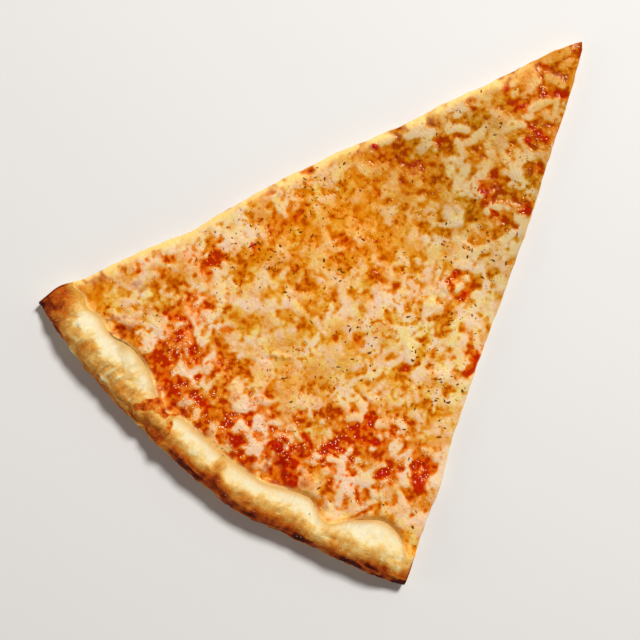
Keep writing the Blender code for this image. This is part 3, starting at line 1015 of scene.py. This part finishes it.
def build_dough(material):
    """The baked base and its rim, with wrinkled skin and open crumb at the cuts."""
    mesh = mesh_of("dough_slice", dough_block())
    x, y, z = corners_of(mesh)
    cell = np.rint(np.hypot(x, y)) - 1
    level = np.rint(z * DOUGH_LEVELS) / DOUGH_LEVELS
    angle = np.clip(np.arctan2(x, y), -HALF_ANGLE, HALF_ANGLE)
    cut = np.abs(np.abs(angle) - HALF_ANGLE) < 1e-4
    in_base = cell <= DOUGH_BASE_CELLS
    radius, lower, upper, nose_round, to_nose = rim_section(cell, angle)
    x, y = placed(radius, angle)
    z = lower + level * (upper - lower)
    move_corners(mesh, x, y, z)
    normals = np.empty(len(x) * 3)
    mesh.vertex_normals.foreach_get("vector", normals)
    nx, ny, nz = normals.reshape(-1, 3).T
    # The way round the skin, from the foot of the rim over its crest and back under it
    girth = nose_round + (1 - level) * (WHOLE_ROUND - 2 * nose_round)
    arc = angle * PIE_RADIUS

    groove, scorch = groove_depth(x, y)
    outer = eased((nose_round - SLOPE_ROUND) / (9 * MM))
    climbed = eased((radius - cheese_edge(angle) + 0.4 * MM) / (3.5 * MM))
    relief, wrinkled, flaked = skin_relief(arc, girth, outer)
    spill = spill_share(x, y) * (level > 0.5)
    relief = MM * climbed * relief - groove
    relief += MM * spill * (0.45 + 0.22 * sampled(mottle(87, 0.9 * MM), x, y))
    below = np.clip(1 - level, 0, 1) * (nose_round < 20 * MM)
    relief = np.where(~cut & ~in_base, relief * (1 - 0.9 * below), 0)

    # Open crumb on the cut faces, under a closed skin
    skin_depth = np.minimum(z - lower, np.where(in_base, 1, np.minimum(upper - z, to_nose)))
    pores = sampled(mottle(81, 0.6 * MM), z - 40 * MM, radius - 118 * MM)
    caves = sampled(mottle(82, 1.6 * MM), z, radius - 118 * MM)
    holes = np.clip(pores - 0.6, 0, 1.4) + 0.5 * np.clip(caves - 0.8, 0, 1.4)
    crumb = cut * eased(skin_depth / (0.8 * MM))
    relief = relief - MM * crumb * (0.50 * holes - 0.10)
    z = np.maximum(z + relief * nz, np.where(level < 0.01, 0, 0.02 * MM))
    z = np.where(in_base & (level < 0.01), 0, z)
    move_corners(mesh, x + relief * nx, y + relief * ny, z)

    baked, underside = skin_baking(np.degrees(angle), arc, girth, nose_round)
    # Painted shade in the wrinkles' hollows, which bake a little darker, and painted highlights on the
    # raised flakes of the outer round, which bake lighter.
    baked += 0.06 * np.clip(wrinkled - 0.8, -0.8, 1.2) * eased((nose_round - 6 * MM) / (4 * MM))
    baked -= 0.40 * np.clip(flaked - 1.3, 0, 0.8) * outer
    baked = underside + (baked + scorch - underside) * eased((level - 0.1) / 0.8)
    baked = np.where(cut, 0.10 + 0.75 * np.exp(-skin_depth / (0.45 * MM)), baked)
    note_values(
        mesh,
        baked=np.clip(baked, 0, 1),
        arc=arc,
        girth=girth,
        crumb=crumb,
        # Where the crumb's holes are, for the material to paint shade in them
        pore=np.clip(holes, 0, 1) * crumb,
        oily=np.exp(-(((radius - cheese_edge(angle) - 0.3 * MM) / (1.3 * MM)) ** 2)) * (level > 0.5),
        spill=spill,
        # How deep the creases are, for the material to paint shade in them
        crease=np.clip(groove / (1.5 * MM), 0, 1),
    )
    return finished("dough_slice", mesh, material, "dough", sharp=48)


# Materials


def screen(red, green, blue):
    """A colour from 0 to 255 as seen on a screen, as the linear values that a shader takes."""
    linear = [((value / 255 + 0.055) / 1.055) ** 2.4 for value in (red, green, blue)]
    return (*linear, 1)


class Value:
    """A value or colour that a shader's nodes work out. Sums and products of values are nodes too."""

    def __init__(self, tree, socket):
        self.tree = tree
        self.socket = socket

    def __add__(self, other):
        return calc("ADD", self, other)

    def __sub__(self, other):
        return calc("SUBTRACT", self, other)

    def __rsub__(self, other):
        return calc("SUBTRACT", other, self)

    def __mul__(self, other):
        return calc("MULTIPLY", self, other)


def wire(tree, sockets, values):
    """Sets each named socket to a constant, or links a value to it."""
    for name, value in values.items():
        if isinstance(value, Value):
            tree.links.new(value.socket, sockets[name])
        else:
            sockets[name].default_value = value


def add(tree, kind, values, *outputs, **settings):
    """Adds a node and gives the outputs that are asked for, as values."""
    made = tree.nodes.new("ShaderNode" + kind)
    for name, setting in settings.items():
        setattr(made, name, setting)
    wire(tree, made.inputs, values)
    given = [Value(tree, made.outputs[output]) for output in outputs]
    return given[0] if len(given) == 1 else given


def calc(operation, first, second, clamp=False):
    tree = (first if isinstance(first, Value) else second).tree
    return add(tree, "Math", {0: first, 1: second}, 0, operation=operation, use_clamp=clamp)


def between(value, low, high, to_low=0.0, to_high=1.0):
    """The value's place between low and high, eased, as a share from to_low to to_high."""
    values = {"Value": value, "From Min": low, "From Max": high, "To Min": to_low, "To Max": to_high}
    return add(value.tree, "MapRange", values, 0, interpolation_type="SMOOTHSTEP")


def blend(share, first, second, kind="MIX"):
    tree = (share if isinstance(share, Value) else first).tree
    return add(tree, "Mix", {0: share, 6: first, 7: second}, 2, data_type="RGBA", blend_type=kind)


def stained_by(colour, stain):
    """The colour as it shows through a stain."""
    return blend(1.0, colour, stain, "MULTIPLY")


def ramp(value, stops):
    """Colours along a value from 0 to 1, as (place, colour) stops."""
    colour = add(value.tree, "ValToRGB", {"Fac": value}, "Color")
    band = colour.socket.node.color_ramp
    while len(band.elements) < len(stops):
        band.elements.new(0.5)
    for element, (place, shade) in zip(band.elements, stops):
        element.position = place
        element.color = screen(*shade)
    return colour


def noted(tree, name):
    """A value stored on the mesh's corners."""
    return add(tree, "Attribute", {}, "Fac", attribute_name=name, attribute_type="GEOMETRY")


def grain(place, size, detail=2.0, rough=0.5):
    """Fine noise of that size, from 0 to 1."""
    values = {"Vector": place, "Scale": 1 / size, "Detail": detail, "Roughness": rough}
    return add(place.tree, "TexNoise", values, "Fac")


def bumped(height, distance, strength):
    return add(height.tree, "Bump", {"Height": height, "Distance": distance, "Strength": strength}, "Normal")


def new_material(name):
    """A new material, its nodes and the place on the piece that its patterns are laid out over."""
    material = bpy.data.materials.new(name)
    material.use_nodes = True
    return material, material.node_tree, add(material.node_tree, "TexCoord", {}, "Object")


def set_looks(material, looks):
    """Wires the looks to the material's shader."""
    wire(material.node_tree, material.node_tree.nodes["Principled BSDF"].inputs, looks)
    return material


def cell_group(name, output, shape, bend=0.0):
    """A shader group that puts a shape in some cells of a random grid.

    Cell is the cells' size in metres and Share the share of them that hold a shape. The shape is a
    function of the distance from a cell's middle and of the cell's chance number. Bend is how far,
    in metres, fine noise pulls the cells out of shape.
    """
    tree = bpy.data.node_groups.new(name, "ShaderNodeTree")
    for socket in ("Cell", "Share"):
        tree.interface.new_socket(socket, in_out="INPUT", socket_type="NodeSocketFloat")
    tree.interface.new_socket(output, in_out="OUTPUT", socket_type="NodeSocketFloat")
    given = tree.nodes.new("NodeGroupInput").outputs
    cell, share = Value(tree, given["Cell"]), Value(tree, given["Share"])
    place = add(tree, "TexCoord", {}, "Object")
    if bend:
        ways = {0: grain(place, bend * 1.5, 1.0), 1: (bend,) * 3}
        wobble = add(tree, "VectorMath", ways, 0, operation="MULTIPLY")
        place = add(tree, "VectorMath", {0: place, 1: wobble}, 0, operation="ADD")
    values = {"Vector": place, "Scale": calc("DIVIDE", 1.0, cell)}
    distance, colour = add(tree, "TexVoronoi", values, "Distance", "Color")
    picking, sizing = add(tree, "SeparateColor", {"Color": colour}, 0, 1)
    picked = calc("LESS_THAN", picking, share)
    wire(tree, tree.nodes.new("NodeGroupOutput").inputs, {output: shape(distance, sizing) * picked})
    return tree


def in_cells(tree, group, cell, share):
    return add(tree, "Group", {"Cell": cell, "Share": share}, 0, node_tree=group)


def speckle(distance, sizing):
    """A small dot, such as toasted cheese has."""
    return between(sizing * 0.18 + 0.12 - distance, -0.02, 0.20)


def dome(distance, sizing):
    """A round bubble's height, from 0 to 1."""
    out = calc("DIVIDE", distance, sizing * 0.25 + 0.2)
    return calc("SUBTRACT", 1.0, out * out, clamp=True)


# What shows at each thickness of cheese, thin to thick: where it is pale, where it baked golden, over
# bare tomato, and towards the tip, where it is duller
CREAM_BAND = (
    (0.02, (172, 70, 0)),
    (0.25, (214, 126, 6)),
    (0.45, (226, 156, 44)),
    (0.62, (233, 182, 92)),
    (0.80, (240, 213, 174)),
    (0.97, (245, 234, 218)),
)
GOLD_BAND = (
    (0.02, (178, 68, 0)),
    (0.25, (218, 122, 0)),
    (0.45, (229, 148, 8)),
    (0.62, (235, 160, 40)),
    (0.80, (243, 182, 80)),
    (0.97, (250, 208, 126)),
)
RED_BAND = (
    (0.02, (194, 38, 0)),
    (0.16, (214, 72, 0)),
    (0.29, (229, 110, 8)),
    (0.46, (238, 128, 26)),
    (0.64, (245, 152, 68)),
    (0.82, (253, 203, 162)),
    (0.97, (255, 238, 222)),
)
OLIVE_BAND = (
    (0.02, (158, 78, 0)),
    (0.25, (196, 130, 0)),
    (0.45, (210, 154, 12)),
    (0.62, (220, 173, 84)),
    (0.80, (232, 206, 186)),
    (0.97, (240, 227, 220)),
)

# Milkier, pinker and yellower melted places
TINT_BAND = (
    (0.36, (236, 215, 208)),
    (0.46, (237, 217, 196)),
    (0.54, (237, 222, 174)),
    (0.64, (236, 222, 146)),
)


SPECKLES = cell_group("toasted_speckle", "Dots", speckle, bend=0.0004)
DOMES = cell_group("bubble_domes", "Height", dome)


def cheese_colour(tree, place, level, fine):
    """The cheese's colour: its cover's, then its stains, specks, smooth edges and browned places."""
    red, olive = noted(tree, "red"), noted(tree, "olive")
    colour = blend(olive, ramp(level, CREAM_BAND), ramp(level, OLIVE_BAND))
    colour = blend(noted(tree, "gold"), colour, ramp(level, GOLD_BAND))
    colour = blend(red * between(level, 0.6, 0.95, 1.0, 0.6), colour, ramp(level, RED_BAND))
    colour = stained_by(colour, blend(olive, screen(255, 255, 255), screen(221, 222, 190)))
    tint = ramp(grain(place, 0.0045, 4.0, 0.62), TINT_BAND)
    tint = blend(red * 0.8, tint, screen(238, 214, 196))
    tint = blend(olive * 0.6, tint, screen(238, 218, 196))
    colour = stained_by(colour, tint)
    dots = calc("MAXIMUM", in_cells(tree, SPECKLES, 0.0017, 0.45), in_cells(tree, SPECKLES, 0.0011, 0.40))
    colour = blend(dots * noted(tree, "toast"), colour, stained_by(colour, screen(172, 108, 30)))
    butter = blend(fine + 0.5, screen(244, 196, 100), screen(250, 222, 152))
    colour = blend(noted(tree, "side"), colour, butter)
    return blend(noted(tree, "burnt"), colour, stained_by(colour, screen(196, 120, 60)))


def cheese_material():
    material, tree, place = new_material("melted_cheese")
    fine = grain(place, 0.0011, 3.0, 0.62) - 0.5
    finest = grain(place, 0.0005, 1.0) - 0.5
    spots = between(grain(place, 0.0019, 2.0, 0.55), 0.57, 0.64) * noted(tree, "spotty")
    spots = spots * between(noted(tree, "red"), 0.2, 1.0, 1.0, 0.4)
    level = noted(tree, "cover") + fine * 0.34 + finest * 0.30 - spots * 0.40
    froth = noted(tree, "froth")
    foam = in_cells(tree, DOMES, 0.0018, 0.6) * 0.22 + grain(place, 0.0016) * 0.35
    bumps = grain(place, 0.0014, 2.0, 0.65) * 0.28 + foam * froth
    looks = {
        "Base Color": cheese_colour(tree, place, level, fine),
        "Roughness": between(level, 0.25, 0.75, 0.13, 0.42) - froth * 0.08,
        "Normal": bumped(bumps, 0.001, 0.9),
        "Subsurface Weight": 0.12,
        "Subsurface Radius": (1.0, 0.5, 0.25),
        "Subsurface Scale": 0.001,
        "IOR": 1.45,
        "Specular IOR Level": 0.21,
        "Specular Tint": (1.0, 0.78, 0.45, 1),
    }
    return set_looks(material, looks)


def sauce_material():
    material, tree, place = new_material("tomato_sauce")
    pulp = (grain(place, 0.0014, 3.0, 0.6) + noted(tree, "pulp")) * 0.5
    colour = ramp(pulp, ((0.2, (140, 22, 6)), (0.5, (186, 58, 18)), (0.8, (216, 106, 40))))
    looks = {"Base Color": colour, "Roughness": 0.28, "Normal": bumped(pulp, 0.0005, 0.6)}
    return set_looks(material, looks)


CRUST_BAND = (
    (0.00, (255, 245, 208)),
    (0.12, (255, 233, 174)),
    (0.25, (248, 200, 112)),
    (0.40, (232, 158, 64)),
    (0.54, (218, 128, 36)),
    (0.67, (202, 94, 16)),
    (0.79, (168, 62, 8)),
    (0.89, (122, 36, 4)),
    (1.00, (78, 18, 3)),
)
SPILL_BAND = (
    (0.30, (160, 34, 2)),
    (0.42, (208, 76, 6)),
    (0.52, (230, 116, 20)),
    (0.62, (243, 158, 58)),
    (0.76, (250, 200, 118)),
)


def spread_over(tree, x, y):
    return add(tree, "CombineXYZ", {"X": x, "Y": y}, 0)


def dough_material():
    material, tree, place = new_material("baked_dough")
    stored = ("arc", "girth", "baked", "oily", "spill")
    arc, girth, baked, oily, spill = (noted(tree, name) for name in stored)
    # Pale streaks lie along the right half, partly flour and partly painted highlights on the flaky skin,
    # and pale folds lie across the left half, painted highlights along its wrinkles.
    streaks = between(grain(spread_over(tree, arc * 0.3, girth), 0.0008, 3.0, 0.6), 0.54, 0.70)
    folds = between(grain(spread_over(tree, arc, girth * 0.35), 0.0010, 3.0, 0.65), 0.48, 0.68)
    left_half = between(arc, 0.0, 0.03)
    flour = streaks * (1.0 - left_half) + folds * left_half
    level = baked + (grain(place, 0.0030, 5.0, 0.68) - 0.5) * 0.50 - flour * 0.16
    # The crumb's holes are coloured darker and more golden than the crumb around them, as painted shade in
    # them.
    inside = blend(noted(tree, "pore"), screen(250, 232, 188), screen(238, 192, 130))
    colour = blend(noted(tree, "crumb"), ramp(level, CRUST_BAND), inside)
    colour = blend(oily * 0.75, colour, screen(238, 178, 70))
    # Painted shade in the crust's creases: a dull olive blended in along them.
    colour = blend(noted(tree, "crease") * 0.35, colour, screen(206, 172, 92))
    colour = blend(between(spill, 0.0, 0.4), colour, screen(238, 172, 66))
    colour = blend(between(spill, 0.5, 0.95), colour, ramp(grain(place, 0.0026, 3.0, 0.6), SPILL_BAND))
    height = grain(place, 0.0004, 3.0, 0.6) + grain(place, 0.0015, 3.0, 0.6)
    height = height + flour * between(baked, 0.1, 0.35) * 0.6
    looks = {
        "Base Color": colour,
        "Roughness": between(calc("MAXIMUM", oily, spill), 0.2, 0.9, 0.85, 0.25),
        "Normal": bumped(height, 0.0010, 0.9),
        "Subsurface Weight": 0.08,
        "Subsurface Radius": (1.0, 0.6, 0.3),
        "Subsurface Scale": 0.001,
        "Specular IOR Level": 0.10,
    }
    return set_looks(material, looks)


def plain_food_material(name, band, size, rough, shine=0.05):
    """A finish for small pieces: colours mixed by fine noise, with a little relief."""
    material, _, place = new_material(name)
    value = grain(place, size, 2.0, 0.6)
    looks = {
        "Base Color": ramp(value, band),
        "Roughness": rough,
        "Normal": bumped(value, size / 3, 0.5),
        "Specular IOR Level": shine,
    }
    return set_looks(material, looks)


# Scattered pieces

LUMPS_AT_ONCE = 40
MOSTLY_SMALL = 1.7
TRIES_PER_LUMP = 40


def surface_height(x, y):
    """Height of what faces up at a place: the cheese, or the crust beyond its edge."""
    radius, angle = polar(x, y)
    on_crust = radius > cheese_edge(angle)
    return np.where(on_crust, dough_top(radius, angle), sampled(FIELDS["top"], x, y))


def random_places(rng, count, from_share, to_share, wanted=None):
    """Places on the slice, between two shares of the way from the tip to the cheese's edge."""
    tries = TRIES_PER_LUMP * count
    angle = rng.uniform(-0.98, 0.98, tries) * HALF_ANGLE
    share = np.sqrt(rng.uniform(from_share**2, to_share**2, tries))
    x, y = placed(share * cheese_edge(angle), angle)
    kept = rng.uniform(size=tries) < (wanted(x, y) if wanted else 1)
    return np.stack([x[kept], y[kept]], 1)[:count]


def lumps_mesh(places, rng, sizes, faces, sink, jitter):
    """A few small lumps, each a dented ball, turned at random and sunk a little into the surface."""
    bm = bmesh.new()
    for x, y, ground in places:
        length, width, height = (
            (low + (high - low) * rng.uniform() ** MOSTLY_SMALL) * MM / 2 for low, high in sizes
        )
        tilt = Euler((rng.normal(0, 0.25), rng.normal(0, 0.25), rng.uniform(0, 2 * math.pi)))
        centre = Vector((x, y, ground + height * (1 - 2 * sink)))
        matrix = Matrix.LocRotScale(centre, tilt, Vector((length, width, height)))
        lump = bmesh.ops.create_icosphere(bm, subdivisions=faces, radius=1)["verts"]
        for vert in lump:
            vert.co *= 1 + jitter * rng.uniform(-1, 1)
        bmesh.ops.transform(bm, matrix=matrix, verts=lump)
    bmesh.ops.recalc_face_normals(bm, faces=bm.faces)
    return mesh_of("lumps", bm)


def scattered(name, places, material, seed, sizes, faces=1, sink=0.3, jitter=0.25):
    """Many small lumps as one piece. Sizes are ranges of length, width and height in mm."""
    rng = np.random.default_rng(seed)
    places = np.asarray(places)
    grounds = surface_height(places[:, 0], places[:, 1])
    places = np.column_stack([places, grounds]).tolist()
    whole = bmesh.new()
    for first in range(0, len(places), LUMPS_AT_ONCE):
        part = lumps_mesh(places[first : first + LUMPS_AT_ONCE], rng, sizes, faces, sink, jitter)
        whole.from_mesh(part)
        bpy.data.meshes.remove(part)
    return finished(name, mesh_of(name, whole), material)


def build_herbs():
    """Dark flecks of dried herb in loose clusters, fewer near the crust."""
    rng = np.random.default_rng(101)
    band = ((0.3, (92, 40, 4)), (0.55, (134, 72, 8)), (0.8, (92, 56, 6)))
    material = plain_food_material("dried_herb", band, 0.0008, 0.8)
    clumps = mottle(103, 3 * MM)

    def wanted(x, y):
        return np.clip(0.2 + 0.35 * sampled(clumps, x, y), 0, 1) * (0.25 + 0.75 * (y < 0.055))

    places = random_places(rng, 430, 0.15, 0.98, wanted)
    sizes = ((0.35, 2.2), (0.3, 1.1), (0.15, 0.28))
    return scattered("herb_flecks", places, material, 102, sizes, sink=0.15, jitter=0.45)


def build_pepper():
    """Grains of pepper, few of them on the crust."""
    rng = np.random.default_rng(111)
    band = ((0.3, (104, 46, 6)), (0.7, (140, 72, 16)))
    material = plain_food_material("ground_pepper", band, 0.0004, 0.55)
    places = np.concatenate([random_places(rng, 120, 0.2, 0.98), np.array(PEPPER_ON_CRUST) * MM])
    sizes = ((0.3, 0.9), (0.3, 0.7), (0.25, 0.45))
    return scattered("pepper_grains", places, material, 112, sizes)


def build_glint_froth():
    """Pale beads of froth and fat where the cheese boiled, coloured near white and glossy so that they paint
    the glints of the wet cheese, thickest near the crust.
    """
    rng = np.random.default_rng(121)
    # Near-white colours: the beads are painted glints as much as froth.
    band = ((0.3, (255, 226, 190)), (0.7, (255, 240, 220)))
    material = plain_food_material("painted_glint_froth", band, 0.0006, 0.12, shine=0.5)
    clumps = mottle(123, 2.5 * MM)

    def wanted(x, y):
        return sampled(FIELDS["froth"], x, y) ** 2 * (sampled(clumps, x, y) > 0.6)

    places = random_places(rng, 620, 0.1, 0.985, wanted)
    sizes = ((0.3, 1.0), (0.25, 0.5), (0.15, 0.28))
    return scattered("froth_glint_beads", places, material, 122, sizes, sink=0.4, jitter=0.2)


def build_pulp():
    """Glossy lumps of tomato at the reddest marks."""
    band = ((0.3, (168, 6, 2)), (0.55, (204, 22, 4)), (0.8, (226, 66, 14)))
    material = plain_food_material("tomato_pulp", band, 0.0012, 0.2, shine=0.4)
    places = [(x * MM, y * MM) for x, y, *_, cream, red, _ in MARKS if red >= 0.8 and cream <= -2.4]
    sizes = ((1.4, 3.2), (1.0, 2.0), (0.5, 0.8))
    return scattered("tomato_pulp", places, material, 132, sizes, faces=3, sink=0.7, jitter=0.15)


def build_flour():
    """Grains of flour left on the crust's skin."""
    rng = np.random.default_rng(141)
    band = ((0.3, (250, 240, 220)), (0.7, (255, 250, 238)))
    material = plain_food_material("flour", band, 0.0004, 0.9)

    def on_skin(x, y):
        radius, angle = polar(x, y)
        return radius < outer_radius(angle) - 1.5 * MM

    places = random_places(rng, 150, 1.01, 1.09, on_skin)
    sizes = ((0.15, 0.4), (0.15, 0.3), (0.1, 0.2))
    return scattered("flour_grains", places, material, 142, sizes)


# Floor, light and camera

FLOOR_REACH = 2.5
FLOOR_COLOUR = (0.72, 0.72, 0.73, 1)
FLOOR_ROUGHNESS = 0.8

# Lamps: power in watts, width, height as an angle, distance and colour
KEY_POWER = 29.5
KEY_WIDTH = 0.36
KEY_HEIGHT = math.radians(56)
KEY_DISTANCE = 1.6
KEY_COLOUR = (1.0, 0.97, 0.92)
BOUNCE_POWER = 4.5
BOUNCE_WIDTH = 1.2
BOUNCE_HEIGHT = math.radians(24)
BOUNCE_DISTANCE = 1.3
BOUNCE_COLOUR = (1.0, 0.84, 0.66)

# The sky: its colour, and its strength at the horizon and overhead
SKY_COLOUR = (1.0, 0.985, 0.965, 1)
SKY_LOW = 0.50
SKY_HIGH = 0.05

# The camera hangs straight above the slice. Right and up are its own, as directions over the floor.
CAMERA_PLACE = Vector((2.9, 35.4, 650)) * MM
CAMERA_RIGHT = Vector((-0.752, -0.659, 0))
CAMERA_UP = Vector((0.659, -0.752, 0))
CAMERA_LENS = 92.5


def stage_floor():
    """A plain pale floor far wider than the slice."""
    bm = bmesh.new()
    bmesh.ops.create_grid(bm, x_segments=2, y_segments=2, size=FLOOR_REACH)
    mesh = mesh_of("floor", bm)
    material, _, _ = new_material("pale_floor")
    mesh.materials.append(set_looks(material, {"Base Color": FLOOR_COLOUR, "Roughness": FLOOR_ROUGHNESS}))
    floor = bpy.data.objects.new("floor", mesh)
    bpy.context.scene.collection.objects.link(floor)


def light(name, energy, size, place, colour):
    """A round lamp at a place, aimed at the slice's middle."""
    lamp = bpy.data.lights.new(name, "AREA")
    lamp.energy = energy
    lamp.shape = "DISK"
    lamp.size = size
    lamp.color = colour
    holder = bpy.data.objects.new(name, lamp)
    bpy.context.scene.collection.objects.link(holder)
    holder.location = place
    holder.rotation_euler = (-place).to_track_quat("-Z", "Y").to_euler()


def set_lights():
    """A small bright lamp over the tip's side, a soft warm one behind the crust, and a pale sky."""
    key_place = Vector((0.06, -math.cos(KEY_HEIGHT), math.sin(KEY_HEIGHT))) * KEY_DISTANCE
    light("key", KEY_POWER, KEY_WIDTH, key_place, KEY_COLOUR)
    bounce_place = Vector((0.7, math.cos(BOUNCE_HEIGHT), math.sin(BOUNCE_HEIGHT))) * BOUNCE_DISTANCE
    light("bounce", BOUNCE_POWER, BOUNCE_WIDTH, bounce_place, BOUNCE_COLOUR)
    world = bpy.data.worlds.new("studio")
    world.use_nodes = True
    tree = world.node_tree
    way = add(tree, "TexCoord", {}, "Generated")
    height = add(tree, "SeparateXYZ", {"Vector": way}, "Z")
    sky = {"Color": SKY_COLOUR, "Strength": between(height, 0.1, 0.85, SKY_LOW, SKY_HIGH)}
    wire(tree, tree.nodes["Background"].inputs, sky)
    bpy.context.scene.world = world


def set_camera():
    """Straight above, with the tip up to the right and the crust down to the left."""
    camera = bpy.data.objects.new("camera", bpy.data.cameras.new("camera"))
    bpy.context.scene.collection.objects.link(camera)
    camera.data.lens = CAMERA_LENS
    camera.data.sensor_width = 36
    camera.data.clip_start = 0.05
    turned = Matrix((CAMERA_RIGHT.normalized(), CAMERA_UP.normalized(), (0, 0, 1))).transposed()
    camera.matrix_world = Matrix.Translation(CAMERA_PLACE) @ turned.to_4x4()
    bpy.context.scene.camera = camera
    bpy.context.scene.view_settings.view_transform = "Standard"


build_dough(dough_material())
build_sauce(sauce_material())
build_cheese(cheese_material())
build_pulp()
build_glint_froth()
build_herbs()
build_pepper()
build_flour()
stage_floor()
set_lights()
set_camera()
